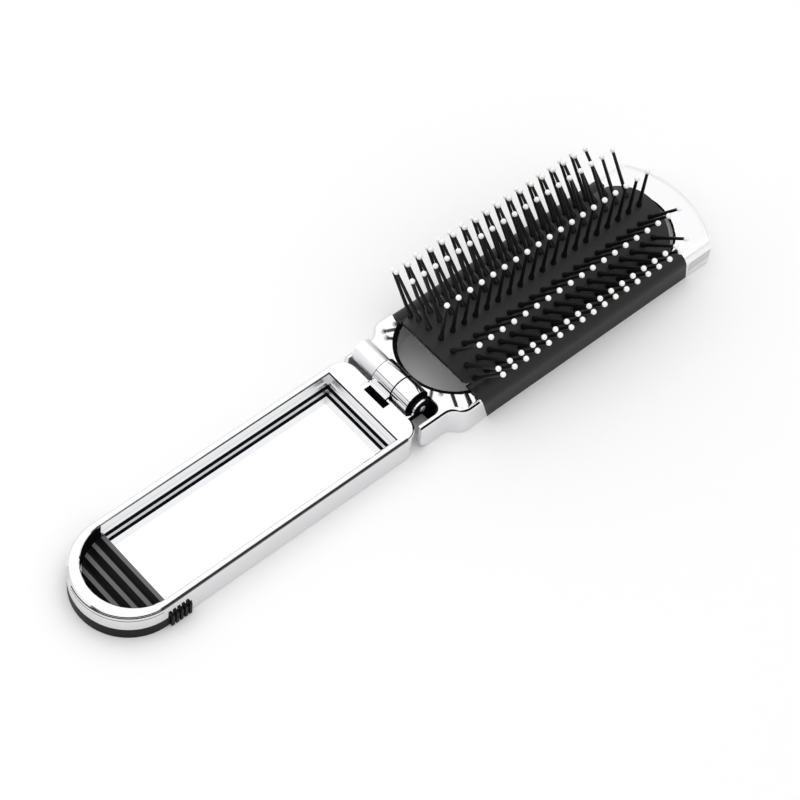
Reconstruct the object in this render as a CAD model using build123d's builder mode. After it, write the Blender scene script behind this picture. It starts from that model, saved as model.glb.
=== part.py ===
from build123d import *
from math import asin, atan, degrees, sqrt
import os

os.makedirs("parts", exist_ok=True)

# Driving sizes in millimetres
# Lengths are measured from the seam where the two open halves meet
handle_length = 94.0
brush_length = 106.8
frame_depth = 9.0
handle_half_width = 14.5
brush_half_width = 17.4

# Brush ring
arm_half_width = 14.4
arm_length = 7.9
flare_end = 13.8
tip_radius = 28.0
tip_corner_radius = 2.5
tip_edge_round = 3.0
opening_half_width = 13.4
opening_near_centre = 22.6
opening_tip_gap = 9.9
ring_edge_round = 1.2
opening_edge_round = 0.8
arm_end_round = 4.0
bay_half_width = 13.0
bay_corner_radius = 2.6
neck_reach = 8.1

# Side rails
rail_thickness = 1.3
rail_seat_depth = 1.0
rail_top = 0.7
rail_near_top = 17.2
rail_near_slope = 3.3
rail_tip_gap = 16.8
rail_far_slope = 2.1
rail_edge_round = 3.6

# Arched pad
pad_radius = 17.4
pad_crest = 6.93
pad_thickness = 1.2
pad_near_bow = 3.0
pad_far_bow = 4.6
pad_near = 17.2
pad_tip_gap = 18.1
slot_clearance = 0.3

# Pins and beads
strip_width = 2.0
pin_length = 12.77
pin_sink = 0.6
pin_boss_width = 1.9
pin_boss_height = 1.8
pin_neck_width = 1.1
pin_end_width = 0.75
bead_radius = 0.8
bead_side_count = 6
bead_slope_height = 0.5
bead_slope_width = 0.35
pin_pitch = 3.87
strip_margin = 1.5

# Rows of pins, from the centre line outwards
inner_row_side = 4.45
middle_row_side = 8.87
outer_row_side = 11.97
inner_row_angle = 35.1
middle_row_angle = 46.3
outer_row_angle = 37.5
inner_row_start = 18.4
middle_row_start = 19.3
outer_row_start = 19.6
inner_row_tip_gap = 18.7
middle_row_tip_gap = 21.7
outer_row_tip_gap = 25.2

# Folding hinge
axis_reach = 4.05
axis_height = 0.45
barrel_radius = 3.75
barrel_left = 4.7
barrel_seam = -2.1
barrel_right = -7.7
knuckle_gap = 0.1
side_knuckle_radius = 3.2
ear_radius = 2.8
ear_inner = 8.4
ear_outer = 9.7
hinge_pin_radius = 0.9
hinge_pin_clearance = 0.05
hinge_pin_half_length = 10.2
hinge_pin_chamfer = 0.2
knuckle_root = 0.6

# Handle frame
rim_width = 2.0
hinge_bar = 6.9
handle_corner_radius = 4.5
handle_edge_chamfer = 0.6
rim_edge_chamfer = 0.3
back_thickness = 0.9
round_end_rim = 3.5
wall_step_depth = 2.9
wall_step_width = 0.25
slot_reach = 1.0
slot_width = 2.2
slot_left = 3.7
slot_right = -3.6
slot_depth = 5.0
step_width = 3.5
step_left = 5.0
step_right = -9.0
step_depth = 0.25

# Mirror and its glue
glass_thickness = 1.0
glue_thickness = 0.2
mirror_clearance = 0.1
glue_margin = 1.0

# Grip insert
insert_length = 16.8
band_height = 3.6
insert_rise = 0.8
ridge_pitch = 3.1
ridge_crest = 1.1
ridge_depth = 0.7
ridge_count = 4
grip_length = 6.9
grip_end_gap = 14.9
grip_depth = 1.3
grip_height = 4.3
rib_count = 5
rib_pitch = 1.3
rib_width = 0.75
rib_stand = 0.8

# Sizes worked out from the ones above
cut_overrun = 1.0
close_by = 0.01
seam_x = (handle_length - brush_length) / 2
flare_length = flare_end - arm_length
flare_rise = brush_half_width - arm_half_width
flare_radius = (flare_length ** 2 + flare_rise ** 2) / (4 * flare_rise)
flare_turn = degrees(asin(flare_length / (2 * flare_radius)))
tip_centre = brush_length - tip_radius
tip_half_angle = degrees(asin(brush_half_width / tip_radius))
tip_corner = tip_centre + sqrt(tip_radius ** 2 - brush_half_width ** 2)
opening_far_centre = brush_length - opening_tip_gap - opening_half_width
shoulder_start = brush_length / 2
opening_length = opening_far_centre - opening_near_centre
handle_centre = handle_half_width - handle_length
recess_half_width = handle_half_width - rim_width
recess_centre = recess_half_width + round_end_rim - handle_length
recess_depth = frame_depth - back_thickness
mirror_gap = wall_step_width + mirror_clearance
insert_reach = handle_length - insert_length
insert_top = frame_depth - band_height - insert_rise
grip_middle = handle_length - grip_end_gap - grip_length / 2
rail_far_top = brush_length - rail_tip_gap
pad_far = brush_length - pad_tip_gap
bore_radius = hinge_pin_radius + hinge_pin_clearance
pad_inner_radius = pad_radius - pad_thickness
pad_axis_height = pad_crest - pad_radius


def plan(height):
    """Level plane at a height above the top faces, with x counted from the seam."""
    return Plane((seam_x, 0, frame_depth + height))


def upright(side):
    """Plane facing the right-hand side, with y counted up from the top faces."""
    return Plane((seam_x, side, frame_depth), x_dir=(1, 0, 0), z_dir=(0, -1, 0))


def across(reach):
    """Plane facing the tip, with y counted up from the top faces."""
    return Plane((seam_x + reach, 0, frame_depth), x_dir=(0, 1, 0), z_dir=(1, 0, 0))


# Helpers used by both halves of the hinge
def knuckle(left, right, radius, root):
    """Adds a round knuckle with its flat root, from its left side to its right side."""
    with BuildSketch(upright(left)) as section:
        with Locations((axis_reach, axis_height)):
            Circle(radius)
        with Locations(((axis_reach + root) / 2, (axis_height - radius) / 2)):
            Rectangle(abs(root - axis_reach), radius - axis_height)
    extrude(section.sketch, amount=left - right)


def bore():
    """Cuts the pin's hole through whatever crosses the hinge bay."""
    with BuildSketch(upright(bay_half_width)) as section:
        with Locations((axis_reach, axis_height)):
            Circle(bore_radius)
    extrude(section.sketch, amount=2 * bay_half_width, mode=Mode.SUBTRACT)


# Side rails of the pad, and the seats that they fill in the ring
def rail_blocks(side, mode):
    """Adds or cuts the upright skin and the top strip on one side."""
    skin = sorted((side * brush_half_width, side * (brush_half_width - rail_thickness)))
    cap = sorted((side * brush_half_width, side * opening_half_width))
    for low, high, drop in ((skin[0], skin[1], frame_depth), (cap[0], cap[1], rail_seat_depth)):
        share = (drop + rail_top) / (frame_depth + rail_top)
        near_foot = rail_near_top + rail_near_slope * share
        far_foot = rail_far_top + rail_far_slope * share
        with BuildSketch(upright(high)) as block:
            with BuildLine():
                Polyline(
                    (rail_near_top, rail_top),
                    (rail_far_top, rail_top),
                    (far_foot, -drop),
                    (near_foot, -drop),
                    close=True,
                )
            make_face()
        extrude(block.sketch, amount=high - low, mode=mode)


def side_rail(side, name):
    """One soft rail, rounded along its outer top edge."""
    with BuildPart() as rail:
        rail_blocks(side, Mode.ADD)
        outer = rail.edges().filter_by(Axis.X).group_by(Axis.Z)[-1].sort_by(Axis.Y)
        fillet(outer[-1] if side > 0 else outer[0], radius=rail_edge_round)
    rail.part.label = name
    export_step(rail.part, "parts/" + name + ".step")


# Tip with its wide round shoulder, and plain space as far as the seam
with BuildPart() as tip_shoulder:
    with BuildSketch(plan(-frame_depth)):
        with BuildLine():
            Polyline((shoulder_start, 0), (shoulder_start, brush_half_width), (tip_corner, brush_half_width))
            CenterArc((tip_centre, 0), tip_radius, 0, tip_half_angle)
            mirror(about=Plane.XZ)
        make_face()
        fillet(vertices().filter_by(lambda spot: abs(spot.Y) > opening_half_width).group_by(Axis.X)[-1],
               radius=tip_corner_radius)
    extrude(amount=frame_depth)
    rim = tip_shoulder.faces().sort_by(Axis.Z)[-1].edges()
    fillet(rim.filter_by(GeomType.CIRCLE), radius=tip_edge_round)
    with BuildSketch(plan(-frame_depth)):
        with Locations(((shoulder_start - cut_overrun) / 2, 0)):
            Rectangle(shoulder_start + cut_overrun, 2 * brush_half_width)
    extrude(amount=frame_depth)

# Brush ring with its arms, neck wall and two knuckles
with BuildPart() as brush_frame:
    with BuildSketch(plan(-frame_depth)):
        with BuildLine():
            Polyline((0, 0), (0, arm_half_width), (arm_length, arm_half_width))
            hollow = JernArc((arm_length, arm_half_width), (1, 0), flare_radius, flare_turn)
            JernArc(hollow @ 1, hollow % 1, flare_radius, -flare_turn)
            Line((flare_end, brush_half_width), (tip_corner, brush_half_width))
            CenterArc((tip_centre, 0), tip_radius, 0, tip_half_angle)
            mirror(about=Plane.XZ)
        make_face()
        fillet(vertices().filter_by(lambda spot: abs(spot.Y) > opening_half_width).group_by(Axis.X)[-1],
               radius=tip_corner_radius)
    extrude(amount=frame_depth)
    arm_feet = brush_frame.edges().filter_by(Axis.Y).group_by(Axis.Z)[0].sort_by(Axis.X)
    fillet(arm_feet[0], radius=arm_end_round)
    rim = brush_frame.faces().sort_by(Axis.Z)[-1].outer_wire().edges()
    fillet(rim.sort_by(Axis.X)[1:], radius=ring_edge_round)
    add(tip_shoulder.part, mode=Mode.INTERSECT)
    with BuildSketch(plan(-frame_depth)):
        with Locations(((opening_near_centre + opening_far_centre) / 2, 0)):
            SlotCenterToCenter(opening_length, 2 * opening_half_width)
    extrude(amount=frame_depth, mode=Mode.SUBTRACT)
    inner_rim = brush_frame.faces().sort_by(Axis.Z)[-1].inner_wires()[0].edges()
    fillet(inner_rim, radius=opening_edge_round)
    with BuildSketch(plan(-frame_depth)):
        with BuildLine():
            Polyline(
                (-cut_overrun, -bay_half_width),
                (neck_reach, -bay_half_width),
                (neck_reach, bay_half_width),
                (-cut_overrun, bay_half_width),
                close=True,
            )
        make_face()
        fillet(vertices().group_by(Axis.X)[-1], radius=bay_corner_radius)
    extrude(amount=frame_depth, mode=Mode.SUBTRACT)
    for side in (-1, 1):
        rail_blocks(side, Mode.SUBTRACT)
    knuckle(barrel_seam - knuckle_gap / 2, barrel_right, barrel_radius, neck_reach + knuckle_root)
    knuckle(bay_half_width, barrel_left + knuckle_gap, side_knuckle_radius, neck_reach + knuckle_root)
    bore()
brush_frame.part.label = "brush_frame"
export_step(brush_frame.part, "parts/brush_frame.step")

side_rail(1, "pad_rail_left")
side_rail(-1, "pad_rail_right")


# Rows of pins: side, lean, first pin and number of pins
def pin_count(start, tip_gap):
    """Number of pins that fit between the first pin and the gap before the tip."""
    return 1 + round((brush_length - tip_gap - start) / pin_pitch)


def row_table():
    """The seven rows from left to right."""
    half = (
        (outer_row_side, outer_row_angle, outer_row_start, pin_count(outer_row_start, outer_row_tip_gap)),
        (middle_row_side, middle_row_angle, middle_row_start, pin_count(middle_row_start, middle_row_tip_gap)),
        (inner_row_side, inner_row_angle, inner_row_start, pin_count(inner_row_start, inner_row_tip_gap)),
    )
    centre = (0.0, 0.0, inner_row_start, pin_count(inner_row_start, inner_row_tip_gap))
    other_half = tuple((-side, -lean, start, pins) for side, lean, start, pins in reversed(half))
    return half + (centre,) + other_half


def pad_height(side):
    """Height of the pad's outer face at a distance from the centre line."""
    return pad_axis_height + sqrt(pad_radius ** 2 - side ** 2)


def strip_sketch(side, spare):
    """Section of the strip of pad under one row, with spare room all round for the slot."""
    tilt = -degrees(asin(side / pad_radius))
    reach = pad_radius - pad_thickness / 2
    middle = (reach * side / pad_radius, pad_axis_height + reach * sqrt(1 - (side / pad_radius) ** 2))
    deep = pad_thickness + (2 * cut_overrun if spare else 0)
    with Locations(Location(middle, tilt)):
        Rectangle(strip_width + 2 * spare, deep)


# Arched sheet between the rails, with bowed ends and a slot for every row
with BuildPart() as pad_membrane:
    with BuildSketch(across(pad_near - pad_near_bow)):
        with Locations((0, pad_axis_height)):
            Circle(pad_radius)
            Circle(pad_inner_radius, mode=Mode.SUBTRACT)
        with Locations((0, pad_crest)):
            Rectangle(2 * opening_half_width, 2 * pad_crest, mode=Mode.INTERSECT)
    extrude(amount=pad_far - pad_near + pad_near_bow + pad_far_bow)
    with BuildSketch(plan(0)):
        with BuildLine():
            ThreePointArc(
                (pad_near, -opening_half_width), (pad_near - pad_near_bow, 0), (pad_near, opening_half_width)
            )
            Line((pad_near, opening_half_width), (pad_far, opening_half_width))
            ThreePointArc(
                (pad_far, opening_half_width), (pad_far + pad_far_bow, 0), (pad_far, -opening_half_width)
            )
            Line((pad_far, -opening_half_width), (pad_near, -opening_half_width))
        make_face()
    extrude(amount=pad_crest + cut_overrun, mode=Mode.INTERSECT)
    for side, lean, start, pins in row_table():
        with BuildSketch(across(start - strip_margin - slot_clearance)):
            strip_sketch(side, slot_clearance)
        slot_length = (pins - 1) * pin_pitch + 2 * (strip_margin + slot_clearance)
        extrude(amount=slot_length, mode=Mode.SUBTRACT)
pad_membrane.part.label = "pad_membrane"
export_step(pad_membrane.part, "parts/pad_membrane.step")

# One lean pin with its root boss, drawn upright and then copied along the rows
boss_taper = degrees(atan((pin_boss_width - pin_neck_width) / 2 / (pin_boss_height + pin_sink)))
shaft_taper = degrees(atan((pin_neck_width - pin_end_width) / 2 / (pin_length - pin_boss_height)))
with BuildPart() as pin:
    with BuildSketch(Plane.XY.offset(-pin_sink)):
        Rectangle(pin_boss_width, pin_boss_width)
    extrude(amount=pin_boss_height + pin_sink, taper=boss_taper)
    with BuildSketch(Plane.XY.offset(pin_boss_height)):
        Rectangle(pin_neck_width, pin_neck_width)
    extrude(amount=pin_length - pin_boss_height, taper=shaft_taper)

# One faceted bead, standing on the end of its pin
with BuildPart() as bead:
    with BuildSketch(Plane.XY.offset(pin_length)):
        RegularPolygon(bead_radius, bead_side_count)
    extrude(amount=2 * bead_radius)
    ends = bead.edges().group_by(Axis.Z)
    chamfer(ends[0] + ends[-1], length=bead_slope_height, length2=bead_slope_width)


def row_places(side, lean, start, pins):
    """Root and lean of every pin in one row."""
    height = frame_depth + pad_height(side)
    return [
        Location((seam_x + start + place * pin_pitch, side, height), (-lean, 0, 0))
        for place in range(pins)
    ]


def bristle_row(number, side, lean, start, pins):
    """A strip of the pad with its pins, and the beads on their ends."""
    places = row_places(side, lean, start, pins)
    with BuildPart() as row:
        with BuildSketch(across(start - strip_margin)):
            strip_sketch(side, 0)
        extrude(amount=(pins - 1) * pin_pitch + 2 * strip_margin)
        with Locations(places):
            add(pin.part)
    row.part.label = "bristle_row_" + str(number)
    export_step(row.part, "parts/" + row.part.label + ".step")
    with BuildPart() as beads:
        with Locations(places):
            add(bead.part)
    beads.part.label = "tip_beads_" + str(number)
    export_step(beads.part, "parts/" + beads.part.label + ".step")


for number, row in enumerate(row_table(), start=1):
    bristle_row(number, *row)

# Plain pin of the folding hinge
with BuildPart() as hinge_pin:
    with BuildSketch(upright(hinge_pin_half_length)):
        with Locations((axis_reach, axis_height)):
            Circle(hinge_pin_radius)
    extrude(amount=2 * hinge_pin_half_length)
    chamfer(hinge_pin.edges().filter_by(GeomType.CIRCLE), length=hinge_pin_chamfer)
hinge_pin.part.label = "hinge_pin"
export_step(hinge_pin.part, "parts/hinge_pin.step")


# Plan outlines shared by the handle, the mirror and the insert
def handle_outline():
    """Straight sides with one round end and two rounded corners."""
    with Locations((handle_centre / 2, 0)):
        Rectangle(-handle_centre, 2 * handle_half_width)
    fillet(vertices().group_by(Axis.X)[-1], radius=handle_corner_radius)
    with Locations((handle_centre, 0)):
        Circle(handle_half_width)


def recess_outline(gap):
    """Recess inside the rim, drawn back by a gap."""
    with Locations(((recess_centre - hinge_bar - gap) / 2, 0)):
        Rectangle(-recess_centre - hinge_bar - gap, 2 * (recess_half_width - gap))
    with Locations((recess_centre, 0)):
        Circle(recess_half_width - gap)


def beyond(reach):
    """Keeps what lies between a reach from the seam and the round end."""
    length = handle_length - reach + cut_overrun
    with Locations((-reach - length / 2, 0)):
        Rectangle(length, 2 * brush_half_width, mode=Mode.INTERSECT)


# Parts of the insert outside the recess, also cut out of the frame
def insert_base(mode):
    """Band under the round end and the two finger grips."""
    with BuildSketch(plan(-frame_depth)) as band:
        handle_outline()
        beyond(insert_reach)
    extrude(band.sketch, amount=band_height, mode=mode)
    for side in (-1, 1):
        with BuildSketch(plan(-frame_depth)) as grip:
            with Locations((-grip_middle, side * (handle_half_width - grip_depth / 2))):
                Rectangle(grip_length, grip_depth)
        extrude(grip.sketch, amount=grip_height, mode=mode)


# Handle frame with its recess, hinge bar, knuckle and ear
with BuildPart() as handle_frame:
    with BuildSketch(plan(-frame_depth)):
        handle_outline()
    extrude(amount=frame_depth)
    rim = handle_frame.faces().sort_by(Axis.Z)[-1].outer_wire().edges()
    chamfer(rim, length=handle_edge_chamfer)
    for gap, depth in ((0, wall_step_depth), (wall_step_width, recess_depth)):
        with BuildSketch(plan(-depth)):
            recess_outline(gap)
        extrude(amount=depth, mode=Mode.SUBTRACT)
    inner_rim = handle_frame.faces().sort_by(Axis.Z)[-1].inner_wires()[0].edges()
    chamfer(inner_rim, length=rim_edge_chamfer)
    insert_base(Mode.SUBTRACT)
    with BuildSketch(plan(-step_depth)):
        with Locations((-step_width / 2, (step_left + step_right) / 2)):
            Rectangle(step_width, step_left - step_right)
    extrude(amount=step_depth, mode=Mode.SUBTRACT)
    with BuildSketch(plan(-slot_depth)):
        with Locations((-slot_reach - slot_width / 2, (slot_left + slot_right) / 2)):
            Rectangle(slot_width, slot_left - slot_right)
    extrude(amount=slot_depth, mode=Mode.SUBTRACT)
    knuckle(barrel_left, barrel_seam + knuckle_gap / 2, barrel_radius, -knuckle_root)
    knuckle(-ear_inner, -ear_outer, ear_radius, -knuckle_root)
    bore()
handle_frame.part.label = "handle_frame"
export_step(handle_frame.part, "parts/handle_frame.step")


# Flat sheets in the recess
def recess_sheet(name, margin, bottom, thickness):
    """A sheet from the hinge bar to the insert."""
    length = insert_reach - hinge_bar - wall_step_width - 2 * margin
    with BuildPart() as sheet:
        with BuildSketch(plan(bottom)):
            with Locations((-(insert_reach + hinge_bar + wall_step_width) / 2, 0)):
                Rectangle(length, 2 * (recess_half_width - wall_step_width - margin))
        extrude(amount=thickness)
    sheet.part.label = name
    export_step(sheet.part, "parts/" + name + ".step")


recess_sheet("mirror_glass", mirror_clearance, glue_thickness - recess_depth, glass_thickness)
recess_sheet("mirror_adhesive", glue_margin, -recess_depth, glue_thickness)

# Black insert with its ridges, band and finger ribs
with BuildPart() as grip_insert:
    with BuildSketch(plan(band_height - frame_depth)):
        recess_outline(mirror_gap)
        beyond(insert_reach)
    extrude(amount=insert_rise)
    for place in range(ridge_count):
        groove_near = insert_reach + place * ridge_pitch + ridge_crest
        groove_far = insert_reach + (place + 1) * ridge_pitch
        with BuildSketch(upright(handle_half_width)):
            with BuildLine():
                Polyline(
                    (-groove_near, -insert_top),
                    (-(groove_near + groove_far) / 2, -insert_top - ridge_depth),
                    (-groove_far, -insert_top),
                    close=True,
                )
            make_face()
        extrude(amount=2 * handle_half_width, mode=Mode.SUBTRACT)
    insert_base(Mode.ADD)
    rib_places = [
        (-grip_middle + (place - (rib_count - 1) / 2) * rib_pitch, side * handle_half_width)
        for side in (-1, 1)
        for place in range(rib_count)
    ]
    with BuildSketch(plan(-frame_depth)):
        with Locations(rib_places):
            Rectangle(rib_width, 2 * rib_stand)
    extrude(amount=grip_height)
grip_insert.part.label = "grip_insert"
export_step(grip_insert.part, "parts/grip_insert.step")
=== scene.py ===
import math

import bmesh
import bpy
from mathutils import Matrix, Vector


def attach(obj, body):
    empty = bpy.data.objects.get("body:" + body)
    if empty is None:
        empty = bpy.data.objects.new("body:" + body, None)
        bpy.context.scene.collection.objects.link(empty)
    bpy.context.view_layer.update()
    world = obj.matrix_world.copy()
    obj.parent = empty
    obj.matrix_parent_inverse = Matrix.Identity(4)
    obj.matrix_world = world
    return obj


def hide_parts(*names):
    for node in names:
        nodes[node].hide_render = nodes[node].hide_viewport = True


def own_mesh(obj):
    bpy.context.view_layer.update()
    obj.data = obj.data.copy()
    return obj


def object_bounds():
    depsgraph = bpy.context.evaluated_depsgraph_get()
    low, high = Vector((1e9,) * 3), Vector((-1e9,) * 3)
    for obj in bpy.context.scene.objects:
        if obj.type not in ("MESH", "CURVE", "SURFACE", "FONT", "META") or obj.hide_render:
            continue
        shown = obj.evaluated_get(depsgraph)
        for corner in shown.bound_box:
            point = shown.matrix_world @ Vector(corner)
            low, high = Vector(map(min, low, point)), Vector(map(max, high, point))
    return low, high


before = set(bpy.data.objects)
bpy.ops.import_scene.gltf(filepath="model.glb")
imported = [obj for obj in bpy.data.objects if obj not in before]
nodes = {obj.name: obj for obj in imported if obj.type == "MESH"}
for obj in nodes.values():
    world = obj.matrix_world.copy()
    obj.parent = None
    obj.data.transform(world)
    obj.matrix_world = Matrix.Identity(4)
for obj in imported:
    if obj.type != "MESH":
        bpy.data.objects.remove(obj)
cad_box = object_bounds()

# Sizes of the CAD part, in millimetres; a reach counts from the seam between the halves
MM = 0.001
HANDLE_LENGTH = 94.0
BRUSH_LENGTH = 106.8
FRAME_DEPTH = 9.0
SEAM_X = (HANDLE_LENGTH - BRUSH_LENGTH) / 2
BRUSH_HALF_WIDTH = 17.4
RING_EDGE_ROUND = 1.2
TIP_EDGE_ROUND = 3.0
OPENING_HALF_WIDTH = 13.4
OPENING_NEAR_CENTRE = 22.6
OPENING_FAR_CENTRE = 83.5
OPENING_EDGE_ROUND = 0.8
NECK_REACH = 8.1
BAY_HALF_WIDTH = 13.0
AXIS_REACH = 4.05
BARREL_RADIUS = 3.75
BARREL_LEFT = 4.7
BARREL_SEAM = -2.1
KNUCKLE_GAP = 0.1
KNUCKLE_ROOT = 0.6
EAR_INNER = 8.4
EAR_OUTER = 9.7
HANDLE_HALF_WIDTH = 14.5
HINGE_BAR = 6.9
RECESS_HALF_WIDTH = 12.5
RIM_EDGE_CHAMFER = 0.3
SLOT_REACH = 1.0
SLOT_WIDTH = 2.2
SLOT_LEFT = 3.7
SLOT_RIGHT = -3.6
INSERT_REACH = 77.2
INSERT_TOP = -4.6
PAD_RADIUS = 17.4
PAD_CREST = 6.93
PAD_AXIS_HEIGHT = PAD_CREST - PAD_RADIUS
PAD_THICKNESS = 1.2
PAD_NEAR = 17.2
PAD_NEAR_BOW = 3.0
PIN_LENGTH = 12.77
PIN_PITCH = 3.87
BEAD_RADIUS = 0.8
STRIP_WIDTH = 2.0
STRIP_MARGIN = 1.5

# Half of the rows from the outside in: side, lean in degrees, first pin and number of pins
HALF_ROWS = (
    (11.97, 37.5, 19.6, 17),
    (8.87, 46.3, 19.3, 18),
    (4.45, 35.1, 18.4, 19),
)
CENTRE_ROW = ((0.0, 0.0, 18.4, 19),)
OTHER_HALF = tuple((-side, -lean, start, pins) for side, lean, start, pins in reversed(HALF_ROWS))
ROWS = HALF_ROWS + CENTRE_ROW + OTHER_HALF


def place(reach, side, height):
    """Point in metres from a reach past the seam, a side and a height above the top faces."""
    return Vector(((SEAM_X + reach) * MM, side * MM, (FRAME_DEPTH + height) * MM))


# Materials
GRAIN_DETAIL = 6.0


def map_range(tree, value, source, target=(0.0, 1.0), interpolation="LINEAR"):
    """Maps a socket from one range to another."""
    node = tree.nodes.new("ShaderNodeMapRange")
    node.interpolation_type = interpolation
    tree.links.new(value, node.inputs["Value"])
    for name, limit in zip(("From Min", "From Max", "To Min", "To Max"), (*source, *target)):
        node.inputs[name].default_value = limit
    return node.outputs["Result"]


def add_grain(tree, shader, scale, roughness, bump_strength, bump_depth):
    """Fine noise in roughness and bump, in object space."""
    where = tree.nodes.new("ShaderNodeTexCoord")
    noise = tree.nodes.new("ShaderNodeTexNoise")
    noise.inputs["Scale"].default_value = scale
    noise.inputs["Detail"].default_value = GRAIN_DETAIL
    tree.links.new(where.outputs["Object"], noise.inputs["Vector"])
    grain = map_range(tree, noise.outputs["Fac"], (0.0, 1.0), roughness)
    tree.links.new(grain, shader.inputs["Roughness"])
    bump = tree.nodes.new("ShaderNodeBump")
    bump.inputs["Strength"].default_value = bump_strength
    bump.inputs["Distance"].default_value = bump_depth
    tree.links.new(noise.outputs["Fac"], bump.inputs["Height"])
    tree.links.new(bump.outputs["Normal"], shader.inputs["Normal"])


def solid_material(name, colour, metallic, roughness, grain, bump_strength, bump_depth, specular=0.5):
    """One-coloured material with a fine grain; the bump's depth is in metres."""
    material = bpy.data.materials.new(name)
    material.use_nodes = True
    shader = material.node_tree.nodes["Principled BSDF"]
    shader.inputs["Base Color"].default_value = (*colour, 1.0)
    shader.inputs["Metallic"].default_value = metallic
    shader.inputs["Specular IOR Level"].default_value = specular
    add_grain(material.node_tree, shader, grain, roughness, bump_strength, bump_depth)
    return material


def chrome_material(name):
    """Bright plating."""
    return solid_material(
        name,
        (0.79, 0.79, 0.80),
        metallic=1.0,
        roughness=(0.03, 0.07),
        grain=120.0,
        bump_strength=0.02,
        bump_depth=0.00005,
    )


chrome_brush = chrome_material("plated_chrome_brush")
chrome_handle = chrome_material("plated_chrome_handle")
rubber = solid_material(
    "black_rubber",
    (0.010, 0.010, 0.011),
    metallic=0.0,
    roughness=(0.42, 0.56),
    grain=900.0,
    bump_strength=0.10,
    bump_depth=0.00004,
    specular=0.30,
)
pin_black = solid_material(
    "black_pins",
    (0.004, 0.004, 0.0045),
    metallic=0.0,
    roughness=(0.32, 0.45),
    grain=700.0,
    bump_strength=0.06,
    bump_depth=0.00003,
    specular=0.25,
)
insert_black = solid_material(
    "black_insert",
    (0.006, 0.006, 0.0065),
    metallic=0.0,
    roughness=(0.38, 0.52),
    grain=800.0,
    bump_strength=0.08,
    bump_depth=0.00004,
    specular=0.10,
)
steel = solid_material(
    "plain_steel",
    (0.62, 0.62, 0.64),
    metallic=1.0,
    roughness=(0.22, 0.34),
    grain=500.0,
    bump_strength=0.05,
    bump_depth=0.00003,
)
mirror_face = solid_material(
    "silvered_glass",
    (0.92, 0.925, 0.93),
    metallic=1.0,
    roughness=(0.0, 0.015),
    grain=60.0,
    bump_strength=0.0,
    bump_depth=0.00001,
)
glue = solid_material(
    "pale_glue",
    (0.74, 0.73, 0.70),
    metallic=0.0,
    roughness=(0.5, 0.7),
    grain=400.0,
    bump_strength=0.1,
    bump_depth=0.00005,
)
bead_white = solid_material(
    "white_beads",
    (0.94, 0.94, 0.93),
    metallic=0.0,
    roughness=(0.18, 0.28),
    grain=600.0,
    bump_strength=0.03,
    bump_depth=0.00002,
)
bead_shader = bead_white.node_tree.nodes["Principled BSDF"]
bead_shader.inputs["Subsurface Weight"].default_value = 0.1
bead_shader.inputs["Subsurface Scale"].default_value = 0.001


# Masks by place on a piece and by the direction of its faces
MIX_FACTOR = 0
MIX_FIRST_COLOUR = 6
MIX_SECOND_COLOUR = 7
MIX_COLOUR = 2


def calculate(tree, operation, *values):
    """Math node over sockets and plain numbers."""
    node = tree.nodes.new("ShaderNodeMath")
    node.operation = operation
    for socket, value in zip(node.inputs, values):
        if isinstance(value, bpy.types.NodeSocket):
            tree.links.new(value, socket)
        else:
            socket.default_value = value
    return node.outputs["Value"]


def point_sockets(tree):
    """Position, normal and distance from the opening's centre line, in the piece's own space."""
    where = tree.nodes.new("ShaderNodeTexCoord")
    sockets = []
    for output in ("Object", "Normal"):
        split = tree.nodes.new("ShaderNodeSeparateXYZ")
        tree.links.new(where.outputs[output], split.inputs["Vector"])
        sockets += [split.outputs[axis] for axis in "XYZ"]
    middle = (SEAM_X + (OPENING_NEAR_CENTRE + OPENING_FAR_CENTRE) / 2) * MM
    half = (OPENING_FAR_CENTRE - OPENING_NEAR_CENTRE) / 2 * MM
    past_middle = calculate(tree, "ABSOLUTE", calculate(tree, "SUBTRACT", sockets[0], middle))
    past_centre = calculate(tree, "MAXIMUM", calculate(tree, "SUBTRACT", past_middle, half), 0.0)
    squares = [calculate(tree, "MULTIPLY", socket, socket) for socket in (past_centre, sockets[1])]
    return [*sockets, calculate(tree, "SQRT", calculate(tree, "ADD", *squares))]


def region(reach, side, height, normal=(None, None, None), round_opening=None):
    """Ranges of a box in millimetres, of the normal, and of the distance past the opening's edge."""
    low, high = (place(*corner) for corner in zip(reach, side, height))
    from_centre_line = None
    if round_opening:
        from_centre_line = [(OPENING_HALF_WIDTH + edge) * MM for edge in round_opening]
    return [*zip(low, high), *normal, from_centre_line]


def inside(tree, sockets, limits):
    """1 where every socket lies within its range, else 0."""
    result = 1.0
    for socket, limit in zip(sockets, limits):
        if limit:
            low, high = limit
            within = calculate(tree, "COMPARE", socket, (low + high) / 2, (high - low) / 2)
            result = calculate(tree, "MULTIPLY", result, within)
    return result


def tint(material, regions, colour):
    """Gives the material another colour inside the regions, and returns their mask."""
    tree = material.node_tree
    base = tree.nodes["Principled BSDF"].inputs["Base Color"]
    sockets = point_sockets(tree)
    mask = 0.0
    for limits in regions:
        mask = calculate(tree, "MAXIMUM", mask, inside(tree, sockets, limits))
    mix = tree.nodes.new("ShaderNodeMix")
    mix.data_type = "RGBA"
    tree.links.new(mask, mix.inputs[MIX_FACTOR])
    if base.is_linked:
        tree.links.new(base.links[0].from_socket, mix.inputs[MIX_FIRST_COLOUR])
    else:
        mix.inputs[MIX_FIRST_COLOUR].default_value = base.default_value
    mix.inputs[MIX_SECOND_COLOUR].default_value = (*colour, 1.0)
    tree.links.new(mix.outputs[MIX_COLOUR], base)
    return mask


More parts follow.
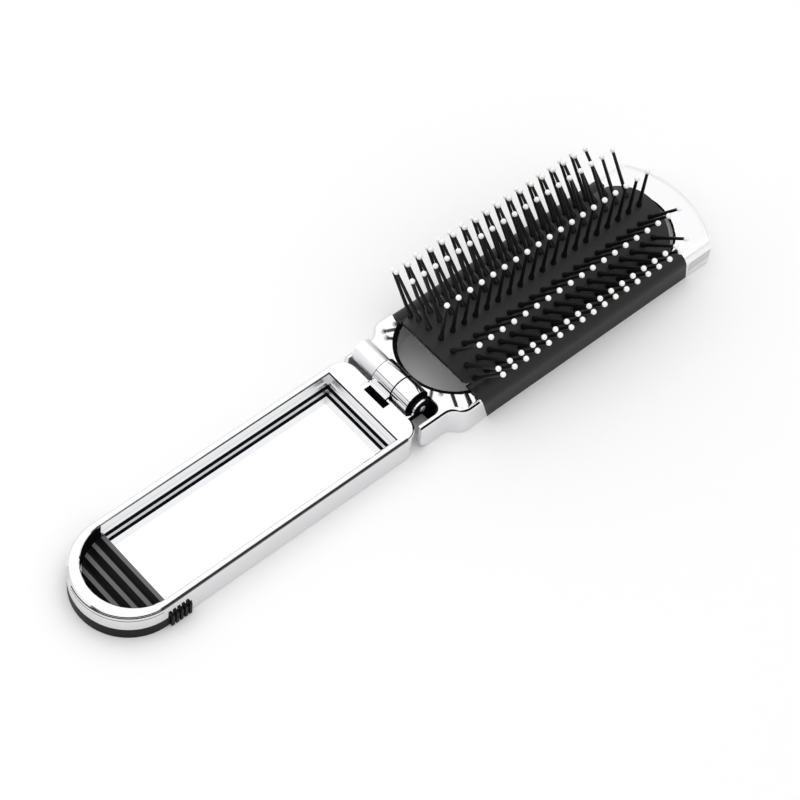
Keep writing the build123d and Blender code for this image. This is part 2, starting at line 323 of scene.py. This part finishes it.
def paint_shade_and_dark_reflections(material, regions):
    """Painted shade and painted dark reflections: plain dark colour inside the regions of a metal piece."""
    mask = tint(material, regions, (0.006, 0.006, 0.007))
    tree = material.node_tree
    shader = tree.nodes["Principled BSDF"]
    shader.inputs["Specular IOR Level"].default_value = 0.0
    tree.links.new(calculate(tree, "SUBTRACT", 1.0, mask), shader.inputs["Metallic"])


def dull(material, mask, roughness):
    """Raises the roughness where the mask is 1."""
    tree = material.node_tree
    socket = tree.nodes["Principled BSDF"].inputs["Roughness"]
    grain = socket.links[0].from_socket
    raised = calculate(tree, "MULTIPLY", mask, roughness)
    tree.links.new(calculate(tree, "MAXIMUM", grain, raised), socket)


def both_sides(limit):
    """Range from the right side to the left."""
    return (-limit, limit)


def inset(limits, border):
    """Range without a border at both its ends."""
    return (limits[0] + border, limits[1] - border)


# Directions of faces, as ranges of the normal's parts
LEFT_FACES = (None, (0.9, 1.1), None)
RIGHT_FACES = (None, (-1.1, -0.9), None)
UPRIGHT_FACES = (None, None, (-0.3, 0.3))
LEVEL_FACES = (None, None, (0.97, 1.1))
CHAMFER_RISE = (0.6, 0.8)

# How far a mask's edge lies from the nearest faces, and ranges about the hinge's barrel
SLACK = 0.1
BARREL_NEAR = AXIS_REACH - BARREL_RADIUS - SLACK
BARREL_FAR = AXIS_REACH + BARREL_RADIUS + SLACK
BARREL_HEIGHTS = (-4.0, 4.5)
LINE_WIDTH = 0.15
PAST_SEAM = LINE_WIDTH + KNUCKLE_GAP / 2

# Softer plating towards the brush's tip, with a painted highlight on the tip's rounded edges
TIP_BLEND_START = 86.0
TIP_BLEND_END = 96.0
TIP_ROUGHNESS = 0.34
TIP_START = 88.0
TIP_EDGE = region(
    (TIP_START, BRUSH_LENGTH + SLACK),
    both_sides(BRUSH_HALF_WIDTH + SLACK),
    (-TIP_EDGE_ROUND - SLACK, SLACK),
    (None, None, (0.05, 0.97)),
)

# Painted grey reflection of a facet on the right side of the tip, with a painted darker border
FACET_REACH = (92.2, 99.9)
FACET_HEIGHTS = (-6.4, -3.1)
FACET_DEPTH = 1.0
FACET_END_BORDER = 0.4
FACET_LONG_BORDER = 0.3
FACET_SIDES = (-BRUSH_HALF_WIDTH - SLACK, -BRUSH_HALF_WIDTH + FACET_DEPTH)
FACET_REFLECTION = region(FACET_REACH, FACET_SIDES, FACET_HEIGHTS)
FACET_REFLECTION_MIDDLE = region(
    inset(FACET_REACH, FACET_END_BORDER), FACET_SIDES, inset(FACET_HEIGHTS, FACET_LONG_BORDER)
)

# Thin knuckle on the left, made paler as a painted highlight, and painted shade and dark reflections on
# faces and lines of the brush frame about the hinge
LEFT_KNUCKLE = region(
    (0.0, NECK_REACH + KNUCKLE_ROOT - SLACK),
    (BARREL_LEFT + KNUCKLE_GAP + SLACK, BAY_HALF_WIDTH + SLACK),
    BARREL_HEIGHTS,
)
LEFT_KNUCKLE_ROUGHNESS = 0.40
LIP_START = 8.4
NECK_WALL_TOP = -0.6
NECK_WALL = region(
    (NECK_REACH - LINE_WIDTH, LIP_START),
    both_sides(BAY_HALF_WIDTH + SLACK),
    (-FRAME_DEPTH - SLACK, NECK_WALL_TOP),
)
BRUSH_KNUCKLE_ENDS = [
    region((0.0, LIP_START), both_sides(BAY_HALF_WIDTH - SLACK), BARREL_HEIGHTS, faces)
    for faces in (LEFT_FACES, RIGHT_FACES)
]
BRUSH_SEAM_RING = region(
    (BARREL_NEAR, BARREL_FAR), (BARREL_SEAM - PAST_SEAM, BARREL_SEAM + LINE_WIDTH), BARREL_HEIGHTS
)
ARM_LINE_END = 17.0
ARM_EDGE = region(
    (-SLACK, ARM_LINE_END),
    (-BRUSH_HALF_WIDTH - SLACK, -BAY_HALF_WIDTH),
    (-RING_EDGE_ROUND - SLACK, 0.0),
    (None, (-0.8, -0.4), (0.6, 0.9)),
)

# Painted dark reflection round the lip of the pad's opening: a dark line, broad at the hinge and thinner
# towards the tip
LIP_MIDDLE = 60.0
LIP_END = OPENING_FAR_CENTRE + OPENING_HALF_WIDTH + OPENING_EDGE_ROUND + SLACK
LIP_SIDES = both_sides(OPENING_HALF_WIDTH + OPENING_EDGE_ROUND + SLACK)
FILLET_SLACK = 0.02
BROAD_WIDTH = 1.25
LIP_HEIGHTS = (-OPENING_EDGE_ROUND - SLACK, FILLET_SLACK)
BROAD_RING = (-SLACK, BROAD_WIDTH)
FILLET_RING = (-SLACK, OPENING_EDGE_ROUND + FILLET_SLACK)
LIP_LINE = [
    region((LIP_START, ARM_LINE_END), LIP_SIDES, LIP_HEIGHTS, (None, None, (0.7, 1.1)), BROAD_RING),
    region((LIP_START, LIP_MIDDLE), LIP_SIDES, LIP_HEIGHTS, (None, None, (0.1, 0.96)), FILLET_RING),
    region((LIP_MIDDLE, LIP_END), LIP_SIDES, LIP_HEIGHTS, (None, None, (0.55, 0.96)), FILLET_RING),
]


def finish_brush_plating():
    """Softer plating at the tip with a painted highlight on its edges, a painted highlight on the left
    knuckle, a painted grey reflection of a facet, and painted shade and dark reflections about the hinge
    and round the opening's lip.
    """
    tree = chrome_brush.node_tree
    blend_range = [(SEAM_X + reach) * MM for reach in (TIP_BLEND_START, TIP_BLEND_END)]
    dull(chrome_brush, map_range(tree, point_sockets(tree)[0], blend_range), TIP_ROUGHNESS)
    # Painted highlight on the tip's rounded edges
    tint(chrome_brush, [TIP_EDGE], (0.95, 0.95, 0.96))
    # Painted highlight: the left knuckle paler
    knuckle_mask = tint(chrome_brush, [LEFT_KNUCKLE], (0.90, 0.90, 0.91))
    dull(chrome_brush, knuckle_mask, LEFT_KNUCKLE_ROUGHNESS)
    # Painted grey reflection of a facet, with a painted darker border
    tint(chrome_brush, [FACET_REFLECTION], (0.50, 0.50, 0.51))
    tint(chrome_brush, [FACET_REFLECTION_MIDDLE], (0.62, 0.62, 0.63))
    # Painted shade and dark reflections about the hinge and round the opening's lip
    paint_shade_and_dark_reflections(chrome_brush, [NECK_WALL, *BRUSH_KNUCKLE_ENDS, BRUSH_SEAM_RING, ARM_EDGE, *LIP_LINE])


# Walls of the mirror recess: soft plating with the upper walls a little darker as painted shade, a band of
# painted shade at their foot and painted shade on the round end
DARK_END = -78.0
RECESS_REACH = (DARK_END, -HINGE_BAR + SLACK)
RECESS_SIDES = both_sides(RECESS_HALF_WIDTH + RIM_EDGE_CHAMFER)
RIM_LINE = 0.05
WALL_TOP = -RIM_EDGE_CHAMFER - RIM_LINE
BAND_TOP = -4.35
BAND_FOOT = -6.25
WALL_FOOT = -7.1
RECESS_WALLS = region(RECESS_REACH, RECESS_SIDES, (WALL_FOOT, WALL_TOP), UPRIGHT_FACES)
UPPER_WALLS = region(RECESS_REACH, RECESS_SIDES, (BAND_TOP, WALL_TOP), UPRIGHT_FACES)
RECESS_ROUGHNESS = 0.38
WALL_BAND = region(RECESS_REACH, RECESS_SIDES, (BAND_FOOT, BAND_TOP))
DARK_END_WALL = region(
    (-HANDLE_LENGTH, DARK_END + SLACK),
    RECESS_SIDES,
    (INSERT_TOP - SLACK, WALL_TOP),
    ((0.03, 1.1), *UPRIGHT_FACES[1:]),
)

# Painted shade and dark reflections on faces and lines of the handle frame about the hinge
SLOT_TOP = -0.45
SLOT = region(
    (-SLOT_REACH - SLOT_WIDTH - SLACK, -SLOT_REACH + SLACK),
    (SLOT_RIGHT - SLACK, SLOT_LEFT + SLACK),
    (-FRAME_DEPTH, SLOT_TOP),
)
HANDLE_KNUCKLE_ENDS = [
    region((0.0, BARREL_FAR), (-EAR_OUTER - SLACK, BARREL_LEFT + SLACK), BARREL_HEIGHTS, faces)
    for faces in (LEFT_FACES, RIGHT_FACES)
]
RING_REACH = (-SLOT_REACH, BARREL_FAR)
LEFT_RING = region(RING_REACH, (BARREL_LEFT - LINE_WIDTH, BARREL_LEFT + SLACK), BARREL_HEIGHTS)
HANDLE_SEAM_RING = region(RING_REACH, (BARREL_SEAM - LINE_WIDTH, BARREL_SEAM + PAST_SEAM), BARREL_HEIGHTS)
EAR_DARK_WIDTH = 0.8
EAR_DARK_PART = region((0.0, BARREL_FAR), (-EAR_INNER - EAR_DARK_WIDTH, -EAR_INNER + SLACK), BARREL_HEIGHTS)

# Painted dark reflections: thin dark lines along the handle's edges and round its end
SIDE_LINE_HEIGHTS = (-0.36, -0.18)
SIDE_LINE = region(
    (-HANDLE_LENGTH - SLACK, SLACK),
    both_sides(HANDLE_HALF_WIDTH + SLACK),
    SIDE_LINE_HEIGHTS,
    (None, (-1.1, -0.2), CHAMFER_RISE),
)
BAR_LINE_TOP = -0.08
BAR_LINE = region(
    (-HINGE_BAR - SLACK, -HINGE_BAR + RIM_EDGE_CHAMFER + SLACK),
    RECESS_SIDES,
    (-RIM_EDGE_CHAMFER - SLACK, BAR_LINE_TOP),
    ((-1.1, -0.6), None, CHAMFER_RISE),
)
END_LINE_REACH = (-HANDLE_LENGTH - SLACK, -80.5)
END_LINE_SIDES = (-HANDLE_HALF_WIDTH - SLACK, 4.0)
UPPER_END_LINE_HEIGHTS = (-0.6, -0.4)
LOWER_END_LINE_HEIGHTS = (-1.75, -1.5)
END_LINES = [
    region(END_LINE_REACH, END_LINE_SIDES, UPPER_END_LINE_HEIGHTS, (None, None, CHAMFER_RISE)),
    region(END_LINE_REACH, END_LINE_SIDES, LOWER_END_LINE_HEIGHTS, (None, None, (-0.1, 0.1))),
]


def finish_handle_plating():
    """Soft walls in the mirror recess with painted shade on their upper part, and painted shade and dark
    reflections at their foot, about the hinge and outside.
    """
    wall_mask = tint(chrome_handle, [RECESS_WALLS], (0.82, 0.82, 0.83))
    dull(chrome_handle, wall_mask, RECESS_ROUGHNESS)
    # Painted shade: the upper walls a little darker
    tint(chrome_handle, [UPPER_WALLS], (0.80, 0.80, 0.81))
    about_hinge = [SLOT, *HANDLE_KNUCKLE_ENDS, LEFT_RING, HANDLE_SEAM_RING, EAR_DARK_PART]
    # Painted shade and dark reflections at the walls' foot, on the round end, about the hinge and along the
    # edges
    paint_shade_and_dark_reflections(chrome_handle, [WALL_BAND, DARK_END_WALL, *about_hinge, SIDE_LINE, BAR_LINE, *END_LINES])


# Painted highlight: paler crests of the insert's ridges, where their level top faces catch the light
RIDGE_CREST_HIGHLIGHTS = region(
    (-HANDLE_LENGTH, -INSERT_REACH + SLACK),
    RECESS_SIDES,
    (INSERT_TOP - SLACK, INSERT_TOP + SLACK),
    LEVEL_FACES,
)

finish_brush_plating()
finish_handle_plating()
# Painted highlight on the crests of the insert's ridges
tint(insert_black, [RIDGE_CREST_HIGHLIGHTS], (0.15, 0.15, 0.155))

NODE_MATERIALS = {
    "brush_frame": chrome_brush,
    "handle_frame": chrome_handle,
    "pad_rail_left": rubber,
    "pad_rail_right": rubber,
    "hinge_pin": steel,
    "mirror_glass": mirror_face,
    "mirror_adhesive": glue,
    "grip_insert": insert_black,
}
for node_name, node_material in NODE_MATERIALS.items():
    for material_slot in nodes[node_name].material_slots:
        material_slot.material = node_material


# Pieces made here
SMOOTH_ANGLE = 40.0


def add_piece(name, bm, material, body, replaced):
    """Turns a bmesh into a piece that rides on a body."""
    bmesh.ops.recalc_face_normals(bm, faces=bm.faces)
    mesh = bpy.data.meshes.new(name)
    bm.to_mesh(mesh)
    bm.free()
    mesh.shade_smooth()
    mesh.set_sharp_from_angle(angle=math.radians(SMOOTH_ANGLE))
    mesh.materials.append(material)
    piece = bpy.data.objects.new(name, mesh)
    bpy.context.scene.collection.objects.link(piece)
    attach(piece, body)
    if replaced:
        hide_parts(*replaced)
    return piece


def arch_rise(side):
    """Rise of the pad's outer face over its axis, at a distance from the centre line."""
    return math.sqrt(PAD_RADIUS**2 - side**2)


# Sheet of the pad, and the hems that join it to the side rails
PAD_FAR = 88.2
PAD_FAR_BOW = 4.0
SHEET_GAP = 0.2
SHEET_STEPS = 72
SHEET_COLUMNS = 48
HEM_COLUMNS = 4
HEM_SIDE = 12.5


def evenly(low, high, count):
    """Places from low to high in equal steps."""
    return [low + (high - low) * step / count for step in range(count + 1)]


def sheet_mesh(sides, inside_opening):
    """Curved sheet over a list of sides, closed all round, with bowed ends."""
    bm = bmesh.new()
    grid = {}
    for layer, radius in enumerate((PAD_RADIUS, PAD_RADIUS - PAD_THICKNESS)):
        share = radius / PAD_RADIUS
        for i, side in enumerate(sides):
            bow_share = 1 - (side / OPENING_HALF_WIDTH) ** 2
            near = PAD_NEAR - PAD_NEAR_BOW * bow_share
            far = PAD_FAR + PAD_FAR_BOW * bow_share
            if inside_opening:
                round_end = math.sqrt((OPENING_HALF_WIDTH - SHEET_GAP) ** 2 - side**2)
                near = max(near, OPENING_NEAR_CENTRE - round_end)
                far = min(far, OPENING_FAR_CENTRE + round_end)
            height = PAD_AXIS_HEIGHT + arch_rise(side) * share
            for j, reach in enumerate(evenly(near, far, SHEET_STEPS)):
                grid[layer, i, j] = bm.verts.new(place(reach, side * share, height))
    last = len(sides) - 1
    for i in range(last):
        for j in range(SHEET_STEPS):
            for layer in (0, 1):
                corners = ((i, j), (i + 1, j), (i + 1, j + 1), (i, j + 1))
                bm.faces.new([grid[(layer, *corner)] for corner in corners])
        for j in (0, SHEET_STEPS):
            bm.faces.new([grid[0, i, j], grid[0, i + 1, j], grid[1, i + 1, j], grid[1, i, j]])
    for i in (0, last):
        for j in range(SHEET_STEPS):
            bm.faces.new([grid[0, i, j], grid[0, i, j + 1], grid[1, i, j + 1], grid[1, i, j]])
    return bm


pad_sheet = add_piece(
    "pad_sheet",
    sheet_mesh(evenly(-HEM_SIDE, HEM_SIDE, SHEET_COLUMNS), inside_opening=True),
    rubber,
    "brush",
    ["pad_membrane"],
)
for hem_name, sign in (("pad_hem_left", 1), ("pad_hem_right", -1)):
    hem_sides = evenly(sign * HEM_SIDE, sign * OPENING_HALF_WIDTH, HEM_COLUMNS)
    hem_mesh = sheet_mesh(hem_sides, inside_opening=False)
    hem = add_piece(hem_name, hem_mesh, rubber, "brush", [])
    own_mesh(hem)


# Round pins with root bosses, the strips of pad that carry them, and their beads
PIN_SUNK = 0.9
BOSS_RADIUS = 0.80
BOSS_HEIGHT = 1.8
NECK_RADIUS = 0.50
NECK_TOP = 2.6
END_RADIUS = 0.41
END_SUNK = 0.2
BOSS_SHARES = ((1 / 12, 1.0), (7 / 18, 0.8), (13 / 18, 1 / 3), (1.0, 0.0))
BOSS_PROFILE = tuple(
    (BOSS_HEIGHT * height_share, NECK_RADIUS + (BOSS_RADIUS - NECK_RADIUS) * width_share)
    for height_share, width_share in BOSS_SHARES
)
PIN_PROFILE = (
    (-PIN_SUNK, BOSS_RADIUS),
    *BOSS_PROFILE,
    (NECK_TOP, NECK_RADIUS),
    (PIN_LENGTH + END_SUNK, END_RADIUS),
)
PIN_SEGMENTS = 12
BEAD_SEGMENTS = 16
BEAD_RINGS = 10
BEAD_SEEN_RADIUS = 0.74
STRIP_SKIN = 0.1


def add_pin(bm, matrix):
    """One pin, drawn upright and then placed by the matrix."""
    rings = []
    for height, radius in PIN_PROFILE:
        ring = []
        for segment in range(PIN_SEGMENTS):
            turn = 2 * math.pi * segment / PIN_SEGMENTS
            point = Vector((radius * math.cos(turn), radius * math.sin(turn), height))
            ring.append(bm.verts.new(matrix @ point))
        rings.append(ring)
    for low, high in zip(rings, rings[1:]):
        for k in range(PIN_SEGMENTS):
            after = (k + 1) % PIN_SEGMENTS
            bm.faces.new([low[k], low[after], high[after], high[k]])
    bm.faces.new(rings[0])
    bm.faces.new(rings[-1])


def add_strip(bm, side, start, pins):
    """Flat strip of the pad under one row, inside the sheet's thickness."""
    tilt = math.asin(side / PAD_RADIUS)
    along = Vector((0, math.cos(tilt), -math.sin(tilt)))
    out = Vector((0, math.sin(tilt), math.cos(tilt)))
    top = PAD_RADIUS - STRIP_SKIN
    bottom = PAD_RADIUS - PAD_THICKNESS + STRIP_SKIN
    corners = []
    for reach in (start - STRIP_MARGIN, start + (pins - 1) * PIN_PITCH + STRIP_MARGIN):
        for width_share, radius in ((-0.5, bottom), (0.5, bottom), (0.5, top), (-0.5, top)):
            point = out * radius + along * (width_share * STRIP_WIDTH)
            corners.append(bm.verts.new(place(reach, point.y, PAD_AXIS_HEIGHT + point.z)))
    near, far = corners[:4], corners[4:]
    bm.faces.new(near)
    bm.faces.new(far)
    for k in range(len(near)):
        after = (k + 1) % len(near)
        bm.faces.new([near[k], near[after], far[after], far[k]])


def add_row(number, side, lean, start, pins):
    """The pins of one row with their strip, and the beads on their ends."""
    pins_mesh = bmesh.new()
    beads_mesh = bmesh.new()
    add_strip(pins_mesh, side, start, pins)
    for k in range(pins):
        root = place(start + k * PIN_PITCH, side, PAD_AXIS_HEIGHT + arch_rise(side))
        turn = Matrix.Rotation(-math.radians(lean), 4, "X")
        matrix = Matrix.Translation(root) @ turn @ Matrix.Scale(MM, 4)
        add_pin(pins_mesh, matrix)
        bmesh.ops.create_uvsphere(
            beads_mesh,
            u_segments=BEAD_SEGMENTS,
            v_segments=BEAD_RINGS,
            radius=BEAD_SEEN_RADIUS,
            matrix=matrix @ Matrix.Translation((0, 0, PIN_LENGTH + BEAD_RADIUS)),
        )
    body = f"row_{number}"
    add_piece(f"pins_{number}", pins_mesh, pin_black, body, [f"bristle_row_{number}"])
    add_piece(f"beads_{number}", beads_mesh, bead_white, body, [f"tip_beads_{number}"])


for row_number, row in enumerate(ROWS, start=1):
    add_row(row_number, *row)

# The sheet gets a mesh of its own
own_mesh(pad_sheet)

# Floor, in metres
FLOOR_HALF = 2.0
FLOOR_GAP = 0.0001


def add_floor():
    """Plain white floor just under the part."""
    corners = [(x * FLOOR_HALF, y * FLOOR_HALF, 0) for x, y in ((-1, -1), (1, -1), (1, 1), (-1, 1))]
    mesh = bpy.data.meshes.new("floor")
    mesh.from_pydata(corners, [], [range(len(corners))])
    floor = bpy.data.objects.new("floor", mesh)
    floor.location.z = cad_box[0][2] - FLOOR_GAP
    bpy.context.scene.collection.objects.link(floor)
    white_floor = solid_material(
        "white_floor",
        (0.98, 0.98, 0.98),
        metallic=0.0,
        roughness=(0.85, 0.95),
        grain=30.0,
        bump_strength=0.01,
        bump_depth=0.0001,
    )
    mesh.materials.append(white_floor)


# Surroundings: levels that camera, diffuse and glossy rays meet
CAMERA_LEVEL = 1.0
DIFFUSE_LEVEL = 0.72
GLOSSY_LEVEL = 1.28

# Dark flags that polished faces see: azimuth in degrees, lowest and highest rise of the ray
FLAGS = (
    (-61, 0.33, 0.42),
    (155, 0.39, 0.47),
    (24, 0.30, 0.37),
)
FLAG_REACH = (0.70, 0.85)
FLAG_LEVEL = 0.10

# Polished faces also see the surroundings grow darker downwards
DIM_RISE = -0.1
BRIGHT_RISE = 0.62
DIM_LEVEL = 0.58
FIRST_SHADER = 1
SECOND_SHADER = 2


def background(tree, level):
    """Plain white background of one level."""
    node = tree.nodes.new("ShaderNodeBackground")
    node.inputs["Color"].default_value = (1.0, 1.0, 1.0, 1.0)
    node.inputs["Strength"].default_value = level
    return node


def dark_flag(tree, direction, rise, azimuth, low, high):
    """1 on one flag, fading at its two sides."""
    heading = tree.nodes.new("ShaderNodeVectorMath")
    heading.operation = "DOT_PRODUCT"
    turn = math.radians(azimuth)
    tree.links.new(direction, heading.inputs[0])
    heading.inputs[1].default_value = (math.cos(turn), math.sin(turn), 0.0)
    near_flag = map_range(tree, heading.outputs["Value"], FLAG_REACH)
    level_with_flag = calculate(tree, "COMPARE", rise, (low + high) / 2, (high - low) / 2)
    return calculate(tree, "MULTIPLY", near_flag, level_with_flag)


def studio_level(tree):
    """Level of the surroundings that polished faces see."""
    direction = tree.nodes.new("ShaderNodeTexCoord").outputs["Generated"]
    split = tree.nodes.new("ShaderNodeSeparateXYZ")
    tree.links.new(direction, split.inputs["Vector"])
    rise = split.outputs["Z"]
    flags = 0.0
    for flag in FLAGS:
        flags = calculate(tree, "MAXIMUM", flags, dark_flag(tree, direction, rise, *flag))
    without_flags = calculate(tree, "SUBTRACT", 1.0, calculate(tree, "MULTIPLY", flags, 1 - FLAG_LEVEL))
    falloff = map_range(tree, rise, (DIM_RISE, BRIGHT_RISE), (DIM_LEVEL, 1.0), "SMOOTHSTEP")
    return calculate(tree, "MULTIPLY", without_flags, falloff)


def choose_by_ray(tree, ray, others, seen):
    """Shader that one kind of ray meets, and another for the others."""
    path = tree.nodes.new("ShaderNodeLightPath")
    mix = tree.nodes.new("ShaderNodeMixShader")
    tree.links.new(path.outputs[ray], mix.inputs["Fac"])
    tree.links.new(others.outputs[0], mix.inputs[FIRST_SHADER])
    tree.links.new(seen.outputs[0], mix.inputs[SECOND_SHADER])
    return mix


def add_surroundings():
    """White surroundings; polished faces see them dimmer below and with a few dark flags."""
    world = bpy.data.worlds.new("studio")
    bpy.context.scene.world = world
    world.use_nodes = True
    tree = world.node_tree
    tree.nodes.clear()
    studio = background(tree, GLOSSY_LEVEL)
    tree.links.new(studio_level(tree), studio.inputs["Color"])
    off_camera = choose_by_ray(tree, "Is Glossy Ray", background(tree, DIFFUSE_LEVEL), studio)
    surface = choose_by_ray(tree, "Is Camera Ray", off_camera, background(tree, CAMERA_LEVEL))
    output = tree.nodes.new("ShaderNodeOutputWorld")
    tree.links.new(surface.outputs["Shader"], output.inputs["Surface"])


# Lamps: name, place and size in metres, and power in watts
LAMPS = (
    ("overhead", (0.1, 0.15, 1.1), (1.6, 1.4), 5.0),
    ("left_soft", (-0.9, 0.3, 0.7), (0.7, 0.5), 1.5),
)


def area_light(name, location, size, power):
    """Soft lamp that faces the part and stays out of reflections."""
    light = bpy.data.lights.new(name, "AREA")
    light.shape = "RECTANGLE"
    light.size, light.size_y = size
    light.energy = power
    lamp = bpy.data.objects.new(name, light)
    lamp.location = location
    lamp.rotation_euler = (-Vector(location)).to_track_quat("-Z", "Y").to_euler()
    lamp.visible_glossy = False
    bpy.context.scene.collection.objects.link(lamp)


# Camera matched to the photograph: lens and place come from a fit of measured points
CAMERA_PLACE = (SEAM_X * MM - 0.27620, -0.24360, 0.52670)
CAMERA_RIGHT = Vector((0.7428, -0.6632, 0.0922))
CAMERA_UP = Vector((0.5064, 0.6466, 0.5706))
CAMERA_LENS = 115.97
SENSOR_WIDTH = 36.0
CLIP_START = 0.01
CLIP_END = 20.0


def add_camera():
    """Camera at the photo's angle."""
    camera_data = bpy.data.cameras.new("camera")
    camera_data.lens = CAMERA_LENS
    camera_data.sensor_width = SENSOR_WIDTH
    camera_data.clip_start = CLIP_START
    camera_data.clip_end = CLIP_END
    camera = bpy.data.objects.new("camera", camera_data)
    right = CAMERA_RIGHT.normalized()
    back = right.cross(CAMERA_UP).normalized()
    up = back.cross(right)
    camera.matrix_world = Matrix.Translation(CAMERA_PLACE) @ Matrix((right, up, back)).transposed().to_4x4()
    bpy.context.scene.collection.objects.link(camera)
    bpy.context.scene.camera = camera


add_floor()
add_surroundings()
for lamp_values in LAMPS:
    area_light(*lamp_values)
add_camera()
bpy.context.scene.view_settings.view_transform = "Standard"
